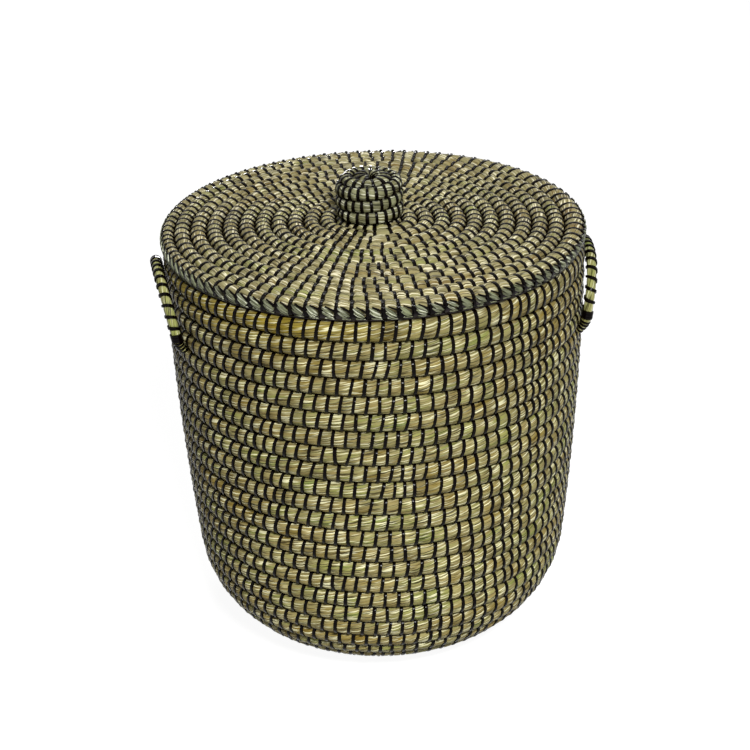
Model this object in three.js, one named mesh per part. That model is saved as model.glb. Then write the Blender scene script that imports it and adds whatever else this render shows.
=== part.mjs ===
// Lidded grass basket, made by coiling: a bundle of dried grass is wound row on row and sewn with a narrow strip.
// Millimetres, +Z up. The origin is at the centre of the base, on the floor, and the handles face -X and +X.
import * as THREE from "three";

// Basket: one coil from the centre of the base to the mouth
const mouthRadius = 171.3; // outside
const bodyHeight = 343.5; // floor to mouth
const wallTaper = 13.3; // how much less the outside radius is at the top of the foot
const footCurve = 88; // outside radius of the curve from base to wall
const rowPitch = 15; // height of a row
const rowDepth = 15; // thickness of the wall, one bundle
const mouthRowFront = 17; // height of the last row at the front, -Y
const rowGap = 0.5; // between one row and the next
const leastRow = 0.4; // share of a row at which a coil that runs out level is cut off

// Lid: a spiral with a twined border, a locating ring under it and a knob on it
const lidOverhang = 2.1; // of the border past the mouth
const lidPitch = 13.1;
const lidDepth = 15;
const lidDome = 3; // rise from rim to centre
const borderThickness = 2;
const borderHeight = 13;
const locatingWidth = 12;
const locatingHeight = 22;
const mouthClearance = 7; // locating ring to the inside of the mouth, when the lid is in the middle
const clearanceLeft = 4; // of that clearance at the back, +Y, towards which the lid lies
const knobAside = -2; // the knob is sewn on a little off the middle, along X
const knobRadius = 27.5; // outside
const knobHeight = 34.5;
const knobShoulder = 10; // outside radius of the knob's top edge
const knobPitch = 9.9;
const knobDepth = 9;

// Handles: a bundle bent to an arch, wound with strip and lashed to a row of the wall
const handleSpan = 96; // between the middles of the legs
const handleRise = 43.5;
const handleThickness = 7.8;
const archFullness = 2.4; // 2 is an ellipse, more is squarer
const handleRow = 3; // rows between the mouth row and the row that carries the handles
const stripWidth = 2.4;
const stripThickness = 0.9;
const wrapPitch = 9.3;
const lashingHeight = 8;
const lashingDrop = 0.5; // how far a lashing reaches below the leg's end
const handles = {
  left: { azimuth: 185, lean: 10.5 },
  right: { azimuth: -5, lean: 9 },
};

// Fits
const seatGap = 0.4; // between a piece and what it sits on
const stripGap = 0.5; // between a strip and the bundle that it goes round

// Facets
const wallSteps = 22; // in one turn
const baseSteps = 16;
const lidSteps = 18;
const knobSteps = 9;
const strandSides = 6;
const handleSteps = 16;
const ringSteps = 24;

const fullTurn = 2 * Math.PI;
const front = -Math.PI / 2;
const clockwise = -1; // the way that every coil winds, seen from above
const leftHanded = -1; // the way that the strip winds along a handle

const grass = new THREE.MeshStandardMaterial({ color: 0x9a9660, roughness: 0.75, metalness: 0 });
const lidGrass = new THREE.MeshStandardMaterial({ color: 0x948f68, roughness: 0.75, metalness: 0 });
const strip = new THREE.MeshStandardMaterial({ color: 0x17131a, roughness: 0.3, metalness: 0 });

// Sections of a row, as shares of half its width and of half its depth. The second number is outwards.
const roundRow = [
  [-0.7, -1],
  [-1, 0.2],
  [0, 1],
  [1, 0.2],
  [0.7, -1],
];
const flatRow = [
  [-1, -1],
  [-0.6, 1],
  [0.6, 1],
  [1, -1],
];

// A closed tube through rings of points, with flat ends.
function solidThroughRings(rings) {
  const sides = rings[0].length;
  const positions = rings.flat().flatMap((point) => point.toArray());
  const triangles = [];
  for (let ring = 0; ring + 1 < rings.length; ring++) {
    for (let side = 0; side < sides; side++) {
      const here = ring * sides + side;
      const beside = ring * sides + ((side + 1) % sides);
      triangles.push([here, beside, here + sides], [beside, beside + sides, here + sides]);
    }
  }
  const last = (rings.length - 1) * sides;
  for (let side = 1; side + 1 < sides; side++) {
    triangles.push([0, side + 1, side], [last, last + side, last + side + 1]);
  }
  const corner = (index) => new THREE.Vector3().fromArray(positions, 3 * index);
  const sixVolumes = triangles.map(([a, b, c]) => corner(a).dot(corner(b).cross(corner(c))));
  const insideOut = sixVolumes.reduce((sum, volume) => sum + volume, 0) < 0;
  const geometry = new THREE.BufferGeometry();
  geometry.setAttribute("position", new THREE.Float32BufferAttribute(positions, 3));
  geometry.setIndex(triangles.flatMap(([a, b, c]) => (insideOut ? [a, c, b] : [a, b, c])));
  geometry.computeVertexNormals();
  return geometry;
}

// The least gap between each turn of a tube and the next, measured corner to corner.
function leastGap(rings, steps) {
  let gap = Infinity;
  for (let ring = steps + 1; ring < rings.length; ring++) {
    const turnBefore = rings.slice(ring - steps - 1, ring - steps + 2).flat();
    for (const here of rings[ring]) {
      for (const there of turnBefore) gap = Math.min(gap, here.distanceTo(there));
    }
  }
  return gap;
}

// The corner of a row at an arc length along a profile, and at a distance outwards from it.
function rowCorner(profile, outwards, along, away) {
  const share = along / profile.getLength();
  const point = profile.getPoint(share);
  const tangent = profile.getTangent(share);
  return point.add(new THREE.Vector2(tangent.y, -tangent.x).multiplyScalar(outwards * away));
}

// A bundle wound row on row along a profile of radius and height, as the rings of one unbroken tube.
// Where it runs out level, its last turn fills what is left up to the end of the profile.
// A coil starts tight in the middle of its spiral, and one that continues another keeps a gap to its end.
function windCoil({ profile, outwards, pitch, depth, section, steps, first, turns, startAngle, continues }) {
  const length = profile.getLength();
  const runsOut = turns === undefined;
  const turnCount = runsOut ? (length - first) / pitch - leastRow : turns;
  const lastStep = Math.floor(turnCount * steps);
  const ring = (turned, ahead, inner, outer) => {
    const middle = (inner + outer) / 2;
    const halfWidth = (outer - inner - rowGap) / 2;
    const trim = ahead / profile.getPoint(middle / length).x;
    const angle = startAngle + clockwise * (fullTurn * turned + trim);
    return section.map(([share, height]) => {
      const corner = rowCorner(profile, outwards, middle + share * halfWidth, (height * depth) / 2);
      return new THREE.Vector3(corner.x * Math.cos(angle), corner.x * Math.sin(angle), corner.y);
    });
  };
  const rings = [];
  for (let step = 0; step <= lastStep; step++) {
    const turned = step / steps;
    const outer = first + pitch * (turned + 1);
    const inner = continues || turned >= 1 ? outer - pitch : first + pitch * turned ** 2;
    const ahead = continues && step === 0 ? rowGap : 0;
    const lastTurn = runsOut && step > lastStep - steps;
    rings.push(ring(turned, ahead, inner, lastTurn ? length : outer));
    if (runsOut && step === lastStep - steps) rings.push(ring(turned, rowGap, inner, length));
  }
  return rings;
}

function coilMesh(name, material, steps, rings) {
  console.log(`${name}: least gap to itself ${leastGap(rings, steps).toFixed(2)} mm`);
  return namedMesh(name, solidThroughRings(rings), material);
}

function namedMesh(name, geometry, material) {
  const mesh = new THREE.Mesh(geometry, material);
  mesh.name = name;
  return mesh;
}

// A ring about the Z axis, from the closed outline of its section in radius and height.
function ringAboutZ(outline, steps, startAngle) {
  const points = [...outline, outline[0]].map(([radius, height]) => new THREE.Vector2(radius, height));
  return new THREE.LatheGeometry(points, steps).rotateX(Math.PI / 2).rotateZ(startAngle - front);
}

// Body profile. The wall is a parabola that stands upright at the mouth, and the foot is an arc tangent to it.
let footLean = 0;
for (let pass = 0; pass < 8; pass++) {
  const height = bodyHeight - footCurve * (1 - Math.sin(footLean));
  footLean = Math.atan((2 * wallTaper) / height);
}
const footTop = footCurve * (1 - Math.sin(footLean));
const floorRadius = mouthRadius - wallTaper - footCurve * Math.cos(footLean);

function wallRadius(height) {
  const below = (bodyHeight - height) / (bodyHeight - footTop);
  return mouthRadius - wallTaper * below ** 2;
}

const bundle = rowDepth / 2;
const bendRadius = footCurve - bundle;
const bendEnd = new THREE.Vector2(
  floorRadius + bendRadius * Math.cos(footLean),
  footCurve - bendRadius * Math.sin(footLean),
);
const bodyProfile = new THREE.Path()
  .moveTo(0, bundle)
  .lineTo(floorRadius, bundle)
  .absarc(floorRadius, footCurve, bendRadius, -Math.PI / 2, -footLean, false)
  .quadraticCurveTo(
    mouthRadius - bundle,
    bendEnd.y + (mouthRadius - bundle - bendEnd.x) / Math.tan(footLean),
    mouthRadius - bundle,
    bodyHeight,
  );
const bodyLength = bodyProfile.getLength();
const wallLength = bodyProfile.curves.at(-1).getLength();
const baseTurns = Math.floor((bodyLength - wallLength - rowGap) / rowPitch);
const frontTurns = (bodyLength - mouthRowFront - rowGap) / rowPitch;
const coilStart = front - clockwise * fullTurn * frontTurns;
const body = { profile: bodyProfile, outwards: 1, pitch: rowPitch, depth: rowDepth, startAngle: coilStart };

// Base coil: from the centre out and round the foot
const baseRings = windCoil({
  ...body,
  section: flatRow,
  steps: baseSteps,
  first: rowGap,
  turns: baseTurns,
});

// Wall coil: takes over from the base coil and runs out level at the mouth
const wallRings = windCoil({
  ...body,
  section: roundRow,
  steps: wallSteps,
  first: rowGap + baseTurns * rowPitch,
  continues: true,
});

// Lid, resting on the mouth
const lidRadius = mouthRadius + lidOverhang - borderThickness - seatGap; // to the border
const lidMiddle = bodyHeight + seatGap + lidDepth / 2;
const lidStart = front;
function lidHeight(radius) {
  return lidMiddle + lidDome * (1 - (radius / lidRadius) ** 2);
}
const lidProfile = new THREE.Path()
  .moveTo(0, lidHeight(0))
  .quadraticCurveTo(lidRadius / 2, lidHeight(0), lidRadius, lidHeight(lidRadius));
const lidRings = windCoil({
  profile: lidProfile,
  outwards: -1,
  pitch: lidPitch,
  depth: lidDepth,
  section: flatRow,
  steps: lidSteps,
  first: rowGap,
  startAngle: lidStart,
});

const borderInside = lidRadius + seatGap;
const borderOutside = borderInside + borderThickness;
const borderLow = lidMiddle - borderHeight / 2;
const borderHigh = lidMiddle + borderHeight / 2;
const borderBevel = borderHeight / 4;
const borderOutline = [
  [borderInside, borderLow],
  [borderOutside, borderLow + borderBevel],
  [borderOutside, borderHigh - borderBevel],
  [borderInside, borderHigh],
];

const mouthInside = (mouthRadius - rowDepth) * Math.cos(Math.PI / wallSteps); // across its facets
const locatingOutside = mouthInside - mouthClearance;
const locatingInside = locatingOutside - locatingWidth;
const locatingTop = lidHeight(locatingOutside) - lidDepth / 2 - seatGap;
const locatingOutline = [
  [locatingInside, locatingTop - locatingHeight],
  [locatingOutside, locatingTop - locatingHeight],
  [locatingOutside, locatingTop],
  [locatingInside, locatingTop],
];

// Knob, from the middle of its top out, over its shoulder and down to the lid
const knobFoot = lidHeight(0) + lidDepth / 2 + seatGap;
const knobTop = knobFoot + knobHeight;
const knobBend = knobShoulder - knobDepth / 2;
const knobProfile = new THREE.Path()
  .moveTo(0, knobTop - knobDepth / 2)
  .lineTo(knobRadius - knobShoulder, knobTop - knobDepth / 2)
  .absarc(knobRadius - knobShoulder, knobTop - knobShoulder, knobBend, Math.PI / 2, 0, true)
  .lineTo(knobRadius - knobDepth / 2, knobFoot);
const knobRings = windCoil({
  profile: knobProfile,
  outwards: -1,
  pitch: knobPitch,
  depth: knobDepth,
  section: roundRow,
  steps: knobSteps,
  first: rowGap,
  startAngle: front,
});

// Handle arch in its own frame: the legs' ends are on the Y axis, which is the hinge, and it stands up along Z
class HandleArch extends THREE.Curve {
  getPoint(share, target = new THREE.Vector3()) {
    const angle = Math.PI * share;
    const level = Math.cos(angle);
    const across = Math.sign(level) * Math.abs(level) ** (2 / archFullness);
    const up = Math.sin(angle) ** (2 / archFullness);
    return target.set(0, (-across * handleSpan) / 2, up * handleRise);
  }
}
const arch = new HandleArch();
const archLength = arch.getLength();
const handleRadius = handleThickness / 2;

function handleCore() {
  const outline = new THREE.Shape();
  for (let side = 0; side < strandSides; side++) {
    const angle = (fullTurn * side) / strandSides;
    outline[side ? "lineTo" : "moveTo"](handleRadius * Math.cos(angle), handleRadius * Math.sin(angle));
  }
  return new THREE.ExtrudeGeometry(outline, { steps: handleSteps, extrudePath: arch, bevelEnabled: false });
}

// The strip winds along the arch between the two lashings, with a corner over each corner of the core.
function handleWrap() {
  const inside = handleRadius + stripGap;
  const from = lashingHeight + stripWidth;
  const turns = Math.floor((archLength - 2 * from) / wrapPitch);
  const begin = (archLength - turns * wrapPitch) / 2;
  const rings = [];
  for (let step = 0; step <= turns * strandSides; step++) {
    const along = begin + (wrapPitch * step) / strandSides;
    const angle = (leftHanded * fullTurn * step) / strandSides;
    const corner = (ahead, radius) => {
      const share = (along + ahead) / archLength;
      const sideways = new THREE.Vector3(-1, 0, 0);
      const inPlane = arch.getTangentAt(share).cross(sideways);
      return arch
        .getPointAt(share)
        .addScaledVector(sideways, radius * Math.cos(angle))
        .addScaledVector(inPlane, radius * Math.sin(angle));
    };
    rings.push([
      corner(-stripWidth / 2, inside),
      corner(stripWidth / 2, inside),
      corner(0, inside + stripThickness),
    ]);
  }
  return rings;
}

// A lashing is a tight band of strip round the end of a leg.
const lashingRadius = handleRadius + stripGap + stripThickness;
function lashing(leg) {
  const outline = [
    [handleRadius + stripGap, -lashingDrop],
    [lashingRadius, -lashingDrop],
    [lashingRadius, lashingHeight - lashingDrop],
    [handleRadius + stripGap, lashingHeight - lashingDrop],
  ];
  return ringAboutZ(outline, strandSides, 0).translate(0, (leg * handleSpan) / 2, 0);
}

// How far out the faceted wall reaches, as a share of its true radius, at an angle.
function facetReach(angle) {
  const facet = fullTurn / wallSteps;
  const within = THREE.MathUtils.euclideanModulo(angle - coilStart, facet) - facet / 2;
  return Math.cos(facet / 2) / Math.cos(within);
}

// The height of the middle of the row that carries a handle, at the handle's angle.
function handleHeight(angle) {
  const behindFront = THREE.MathUtils.euclideanModulo(clockwise * (angle - front), fullTurn) / fullTurn;
  const climb = behindFront > 1 / 2 ? behindFront - 1 : behindFront;
  return bodyHeight - mouthRowFront - rowPitch * (handleRow - climb - 1 / 2);
}

function handle(side, { azimuth, lean }) {
  const angle = THREE.MathUtils.degToRad(azimuth);
  const height = handleHeight(angle);
  const legReach = wallRadius(height) + seatGap + lashingRadius;
  const legAngle = Math.asin(handleSpan / 2 / legReach);
  const nearest = Math.max(facetReach(angle - legAngle), facetReach(angle + legAngle));
  const legRadius = wallRadius(height) * nearest + seatGap + lashingRadius;
  const arm = new THREE.Group();
  arm.position.set(Math.sqrt(legRadius ** 2 - (handleSpan / 2) ** 2), 0, height);
  arm.rotation.y = THREE.MathUtils.degToRad(lean);
  arm.add(namedMesh(`${side}_handle_core`, handleCore(), grass));
  arm.add(coilMesh(`${side}_handle_wrap`, strip, strandSides, handleWrap()));
  const frontLeg = -Math.sign(Math.cos(angle));
  arm.add(namedMesh(`${side}_front_lashing`, lashing(frontLeg), strip));
  arm.add(namedMesh(`${side}_rear_lashing`, lashing(-frontLeg), strip));
  const group = new THREE.Group();
  group.rotation.z = angle;
  group.add(arm);
  console.log(`${side} handle hinge: ${arm.position.x.toFixed(2)} mm out, ${height.toFixed(2)} mm up`);
  return group;
}

const basket = new THREE.Group();
basket.add(coilMesh("base_coil", grass, baseSteps, baseRings));
basket.add(coilMesh("wall_coil", grass, wallSteps, wallRings));

const lid = new THREE.Group();
lid.add(coilMesh("lid_coil", lidGrass, lidSteps, lidRings));
lid.add(namedMesh("lid_border", ringAboutZ(borderOutline, lidSteps, lidStart), strip));
lid.add(namedMesh("lid_locating_ring", ringAboutZ(locatingOutline, ringSteps, lidStart), lidGrass));
const knob = coilMesh("knob_coil", lidGrass, knobSteps, knobRings);
knob.position.x = knobAside;
lid.add(knob);
lid.position.y = mouthClearance - clearanceLeft;

const part = new THREE.Group();
part.add(basket, lid, handle("left", handles.left), handle("right", handles.right));

export default part;
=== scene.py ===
# Lidded grass basket: the looks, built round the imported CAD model.
import math

import bpy
import numpy as np
from mathutils import Matrix, Vector


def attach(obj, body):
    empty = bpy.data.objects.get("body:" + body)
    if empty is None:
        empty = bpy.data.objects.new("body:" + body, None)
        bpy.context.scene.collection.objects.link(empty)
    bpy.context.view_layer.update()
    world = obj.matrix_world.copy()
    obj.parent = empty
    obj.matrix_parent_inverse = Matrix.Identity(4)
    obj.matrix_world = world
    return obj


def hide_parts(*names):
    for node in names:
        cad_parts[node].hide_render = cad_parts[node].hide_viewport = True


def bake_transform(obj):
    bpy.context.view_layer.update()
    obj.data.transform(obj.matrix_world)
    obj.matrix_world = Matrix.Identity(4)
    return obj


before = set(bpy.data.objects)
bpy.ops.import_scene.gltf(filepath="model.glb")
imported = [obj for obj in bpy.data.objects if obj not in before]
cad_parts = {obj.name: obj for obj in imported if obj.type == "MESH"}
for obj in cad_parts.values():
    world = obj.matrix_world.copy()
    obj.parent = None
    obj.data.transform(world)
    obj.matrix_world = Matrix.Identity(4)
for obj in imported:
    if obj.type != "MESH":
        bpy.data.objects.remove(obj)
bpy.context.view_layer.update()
mm = 0.001
full_turn = 2 * math.pi

# View
# The basket is seen from the front and from above the lid, by a long lens
# that is tilted a little to one side.
view_distance = 1.528
view_elevation = math.radians(26.38)
view_turn = math.radians(-5.7)
view_tilt = math.radians(-1.73)
aim_height = 218 * mm
view_pan = math.radians(0.092)
lens_length = 86.95  # on a sensor 36 mm wide

bpy.ops.object.camera_add()
camera = bpy.context.object
camera.data.lens = lens_length
camera.data.sensor_width = 36
camera_reach = view_distance * math.cos(view_elevation)
camera_height = aim_height + view_distance * math.sin(view_elevation)
camera.matrix_world = (
    Matrix.Rotation(view_turn, 4, "Z")
    @ Matrix.Translation((0, -camera_reach, camera_height))
    @ Matrix.Rotation(view_pan, 4, "Z")
    @ Matrix.Rotation(math.pi / 2 - view_elevation, 4, "X")
    @ Matrix.Rotation(view_tilt, 4, "Z")
)
bpy.context.scene.camera = camera
bpy.context.scene.view_settings.view_transform = "Standard"


# Studio
# A white floor and a white surround, with a panel to the front, weaker ones over the lid and behind,
# and a little light from all sides. The floor keeps a faint shadow where the basket stands.
def linear(code):
    """An sRGB hex colour as linear red, green, blue and alpha."""
    parts = [int(code[place : place + 2], 16) / 255 for place in (1, 3, 5)]
    return [part / 12.92 if part <= 0.04045 else ((part + 0.055) / 1.055) ** 2.4 for part in parts] + [1]


def add_node(tree, kind, inputs=None, **settings):
    """Adds a node, with its settings, and with a value or a link for each input that is named."""
    node = tree.nodes.new(kind)
    for setting, value in settings.items():
        setattr(node, setting, value)
    for name, value in (inputs or {}).items():
        if isinstance(value, bpy.types.NodeSocket):
            tree.links.new(value, node.inputs[name])
        else:
            node.inputs[name].default_value = value
    return node


def seen_directly(tree):
    """One for what the camera, a mirror or clear material sees, and zero for what lights the basket."""
    path = add_node(tree, "ShaderNodeLightPath")
    seen = path.outputs["Is Camera Ray"]
    for ray in ("Is Glossy Ray", "Is Transmission Ray"):
        either = add_node(tree, "ShaderNodeMath", {0: seen, 1: path.outputs[ray]}, operation="MAXIMUM")
        seen = either.outputs[0]
    return seen


ambient_light = 0.035
shadow_share = 0.2  # how much of the floor's brightness is lit, the rest glows
floor_glow = 0.935

world = bpy.data.worlds.new("white_surround")
bpy.context.scene.world = world
world.use_nodes = True
tree = world.node_tree
tree.nodes.clear()
glow = add_node(tree, "ShaderNodeBackground", {"Color": linear("#FFFFFF"), "Strength": 1.0})
dim = add_node(tree, "ShaderNodeBackground", {"Color": linear("#FBFCFF"), "Strength": ambient_light})
seen = seen_directly(tree)
mixed = add_node(tree, "ShaderNodeMixShader", {0: seen, 1: dim.outputs[0], 2: glow.outputs[0]})
add_node(tree, "ShaderNodeOutputWorld", {"Surface": mixed.outputs[0]})

bpy.ops.mesh.primitive_plane_add(size=12, location=(0, 0, -0.2 * mm))
floor = bpy.context.object
floor.name = "floor"
paper = bpy.data.materials.new("white_paper")
paper.use_nodes = True
tree = paper.node_tree
tree.nodes.clear()
plain = add_node(tree, "ShaderNodeBsdfDiffuse", {"Color": linear("#A8A8A8")})
shaded = add_node(tree, "ShaderNodeBsdfDiffuse", {"Color": [shadow_share] * 3 + [1]})
white = add_node(tree, "ShaderNodeEmission", {"Color": linear("#FFFFFF"), "Strength": floor_glow})
faint = add_node(tree, "ShaderNodeAddShader", {0: shaded.outputs[0], 1: white.outputs[0]})
seen = seen_directly(tree)
mixed = add_node(tree, "ShaderNodeMixShader", {0: seen, 1: plain.outputs[0], 2: faint.outputs[0]})
add_node(tree, "ShaderNodeOutputMaterial", {"Surface": mixed.outputs[0]})
floor.data.materials.append(paper)

panel_aim = Vector((0, 0, 0.3))
# Each panel's place, width, height and power
front_panel = ((0.18, -1.62, 1.58), 0.55, 0.25, 47)
lid_panel = ((-0.05, 0.55, 1.55), 0.4, 0.4, 6)
back_panel = ((0, 2.6, 0.16), 0.7, 0.24, 26)
for place, width, height, energy in (front_panel, lid_panel, back_panel):
    bpy.ops.object.light_add(type="AREA", location=place)
    panel = bpy.context.object
    panel.data.shape = "RECTANGLE"
    panel.data.size = width
    panel.data.size_y = height
    panel.data.energy = energy
    panel.rotation_euler = (panel_aim - Vector(place)).to_track_quat("-Z", "Y").to_euler()


# Base and wall rows
# One bundle of dried grass, wound clockwise in a flat spiral for the base, then row on row up the wall.
# The strip pulls it in at every stitch, so that it swells between them like a row of small pillows.
mouth_radius = 171.3 * mm
body_height = 343.5 * mm
wall_taper = 13.3 * mm
foot_curve = 88 * mm
row_pitch = 15 * mm
row_depth = 15 * mm
mouth_row_front = 17 * mm
row_gap = 0.5 * mm
base_turns = 12
stitch_spacing = 9.7 * mm
stitch_drift = 1.4 * mm  # from one row to the next, the way that the coil winds
stitch_jitter = 0.55 * mm
stitch_pinch = 0.95 * mm
stitch_grip = 1.5 * mm  # how far the bundle stays pulled in to each side of a stitch
first_stitches = 6  # round the first turn of a spiral
body_evening = 4  # how often the spacing of the stitches is evened out
pillow_slack = 0.5 * mm
row_parting = (0.1 * mm, 0.25 * mm)  # how far the side of a row stays off its neighbour's
golden_stretches = ((0.595, 0.135, 0.75), (1.58, 0.08, 0.4))  # turns from the end, half length, strength
front = -math.pi / 2

row_corners = 14
corner_angles = full_turn * np.arange(row_corners) / row_corners
wall_squareness = 2.25
centre_squareness = 5.0  # on the inner side of the first turn, so that it closes the middle of a spiral


def squared(angles, squareness):
    """Shares of half a row's width and of half its depth, round its section.
    A squareness of 2 makes it round, and more makes it square."""
    across, out = np.cos(angles), np.sin(angles)
    power = 2 / squareness
    return np.sign(across) * np.abs(across) ** power, np.sign(out) * np.abs(out) ** power


def facing(across, out, squareness, half, depth):
    """The way that a point of such a section faces, for a row of this half width and half depth."""
    sideways = np.sign(across) * np.abs(across) ** (squareness - 1) / half
    outwards = np.sign(out) * np.abs(out) ** (squareness - 1) / depth
    size = np.hypot(sideways, outwards)
    return sideways / size, outwards / size


def line_of_rows(points, side):
    """The line that the middles of the rows follow, as a function of the length along it and the distance
    outwards, and its whole length."""
    points = np.array(points)
    run = np.concatenate([[0], np.cumsum(np.hypot(*np.diff(points, axis=0).T))])
    heading = np.gradient(points, run, axis=0)
    heading /= np.linalg.norm(heading, axis=1)[:, None]

    def place(along, away):
        radius, height = (np.interp(along, run, points[:, axis]) for axis in (0, 1))
        outwards, upwards = (np.interp(along, run, heading[:, axis]) for axis in (0, 1))
        return radius + side * upwards * away, height - side * outwards * away

    return place, run[-1]


class Coil:
    """A bundle wound row on row along a line, from the middle of a spiral to a level edge,
    or as one closed row."""

    tail = 0.12  # of a turn, in which the end of the bundle runs out
    level = 0.4  # of a turn, which ending level takes off the coil
    eye = 0.2 * mm  # what stays open in the middle of a spiral

    def __init__(
        self, points, side, pitch, depth, start, squareness, first=row_gap, middle=(0, 0), closed=False
    ):
        self.place, self.length = line_of_rows(points, side)
        self.squareness = squareness
        self.pitch, self.depth, self.start, self.first = pitch, depth, start, first
        self.middle, self.closed = middle, closed
        self.last = 1 if closed else (self.length - first) / pitch - self.level
        turns = np.linspace(0, self.last, 6000)
        radius = self.radius(turns)
        steps = full_turn * (radius[1:] + radius[:-1]) / 2 * np.diff(turns)
        self.turns, self.travelled = turns, np.concatenate([[0], np.cumsum(steps)])

    def inner(self, turn):
        """The length along the line at which a row's inner edge lies."""
        plain = self.first + self.pitch * np.where(turn < 1, np.clip(turn, 0, 1) ** 5, turn)
        rise = np.clip((turn - self.last + self.tail) / self.tail, 0, 1)
        return plain + (self.length - plain) * rise * rise * (3 - 2 * rise)

    def edges(self, turn):
        """The inner and the outer edge of a row."""
        if self.closed:
            return np.full_like(turn, self.first), np.full_like(turn, self.first + self.pitch)
        return self.inner(turn), np.where(turn + 1 < self.last, self.inner(turn + 1), self.length)

    def section(self, turn, angles):
        """The section of a row, which in the first turn fills out towards the middle."""
        filled = np.zeros_like(turn) if self.closed else np.clip(1 - turn, 0, 1)
        extra = (centre_squareness - self.squareness) * filled[:, None] * (np.cos(angles) < 0)
        squareness = self.squareness + extra
        return (*squared(angles, squareness), squareness)

    def radius(self, turn):
        """How far the middle of a row is from the axis."""
        inner, outer = self.edges(turn)
        return self.place((inner + outer) / 2, 0)[0]

    def run(self, turn):
        """The length of bundle that is wound by this turn."""
        return np.interp(turn, self.turns, self.travelled)

    def points(self, turn, along, away):
        """Points at lengths along the line and distances off it."""
        if not self.closed:
            along = np.maximum(along, self.eye)
        radius, height = self.place(along, away)
        angle = self.start - full_turn * turn
        x = self.middle[0] + radius * np.cos(angle)
        y = self.middle[1] + radius * np.sin(angle)
        return np.stack([x, y, height], axis=-1)


def lay_stitches(coil, spacing, spread, drift, jitter, fewest, passes, draw):
    """The turns at which a coil is sewn. Stitches stand over those of the row before, and new ones
    fill wide gaps. Their spacing grows by a spread from the first row to the last, and each pass
    evens it out."""
    rows = [(np.arange(fewest) + 0.5) / fewest]
    for row in range(1, math.ceil(coil.last)):
        around = full_turn * float(coil.radius(np.array(min(row + 0.5, coil.last - 0.2))))
        count = max(fewest, round(around / (spacing * (1 + spread * row / coil.last))))
        shares = rows[-1] - (row - 1) + drift / around + draw.normal(0, jitter / around, len(rows[-1]))
        shares = np.sort(shares % 1)
        while len(shares) < count:
            gaps = np.diff(np.append(shares, shares[0] + 1))
            near = np.roll(gaps, 1) + np.roll(gaps, -1)
            far = np.roll(gaps, 2) + np.roll(gaps, -2)
            widest = int(np.argmax(gaps + 0.6 * near + 0.3 * far))
            shares = np.sort(np.append(shares, shares[widest] + gaps[widest] / 2) % 1)
        for evening in range(passes):
            after = np.append(shares[1:], shares[0] + 1)
            before = np.append(shares[-1] - 1, shares[:-1])
            shares = shares + 0.3 * ((after + before) / 2 - shares)
        rows.append(row + np.sort(shares % 1))
    turns = np.sort(np.concatenate(rows))
    turns = turns[turns < coil.last - 0.004]
    kept = [turns[0]]
    for turn in turns[1:]:
        gap = (coil.run(turn) - coil.run(kept[-1])) / (spacing * (1 + spread * turn / coil.last))
        if gap > 1.6:
            kept.append((kept[-1] + turn) / 2)
        if gap > 0.65:
            kept.append(turn)
    return np.array(kept)


def new_piece(name, points, faces, corner_uv, material, strip_corners=0, **marks):
    """A smooth mesh object at the origin, with a UV map in metres and a number for each point under each
    mark. Its faces are turned outwards. A strip has this many corners to a ring, and its two outer edges
    stay sharp."""
    mesh = bpy.data.meshes.new(name)
    mesh.from_pydata(points.reshape(-1, 3).tolist(), [], faces)
    uv = mesh.uv_layers.new(name="UVMap")
    uv.data.foreach_set("uv", np.asarray(corner_uv, np.float32).ravel())
    for mark, values in marks.items():
        attribute = mesh.attributes.new(mark, "FLOAT", "POINT")
        attribute.data.foreach_set("value", np.asarray(values, np.float32))
    mesh.polygons.foreach_set("use_smooth", np.ones(len(mesh.polygons), bool))
    mesh.materials.append(material)
    mesh.update()
    mesh.calc_loop_triangles()
    triangles = np.empty(3 * len(mesh.loop_triangles), np.int32)
    mesh.loop_triangles.foreach_get("vertices", triangles)
    a, b, c = points.reshape(-1, 3)[triangles.reshape(-1, 3).T]
    volume = np.sum(a * np.cross(b, c))  # six times what the mesh encloses, and less than zero inside out
    if volume < 0:
        mesh.flip_normals()
    if strip_corners:
        ends = np.empty(2 * len(mesh.edges), np.int32)
        mesh.edges.foreach_get("vertices", ends)
        corners = ends.reshape(-1, 2) % strip_corners
        outer_edge = (corners[:, 0] == corners[:, 1]) & np.isin(corners[:, 0], (1, strip_corners - 2))
        attribute = mesh.attributes.new("sharp_edge", "BOOLEAN", "EDGE")
        attribute.data.foreach_set("value", outer_edge)
    piece = bpy.data.objects.new(name, mesh)
    bpy.context.scene.collection.objects.link(piece)
    return piece


def tube_faces(rings, sides, closed, capped):
    """Quads between rings of points that follow each other, and the two ends where they are capped."""
    ring = np.arange(rings if closed else rings - 1)[:, None]
    side = np.arange(sides)[None, :]
    here, there = ring * sides, (ring + 1) % rings * sides
    beside = (side + 1) % sides
    quads = np.stack([here + side, there + side, there + beside, here + beside], axis=-1).reshape(-1, 4)
    faces = quads.tolist()
    if capped:
        faces.append(list(range(sides)))
        faces.append(list(range(rings * sides - 1, (rings - 1) * sides - 1, -1)))
    return faces


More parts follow.
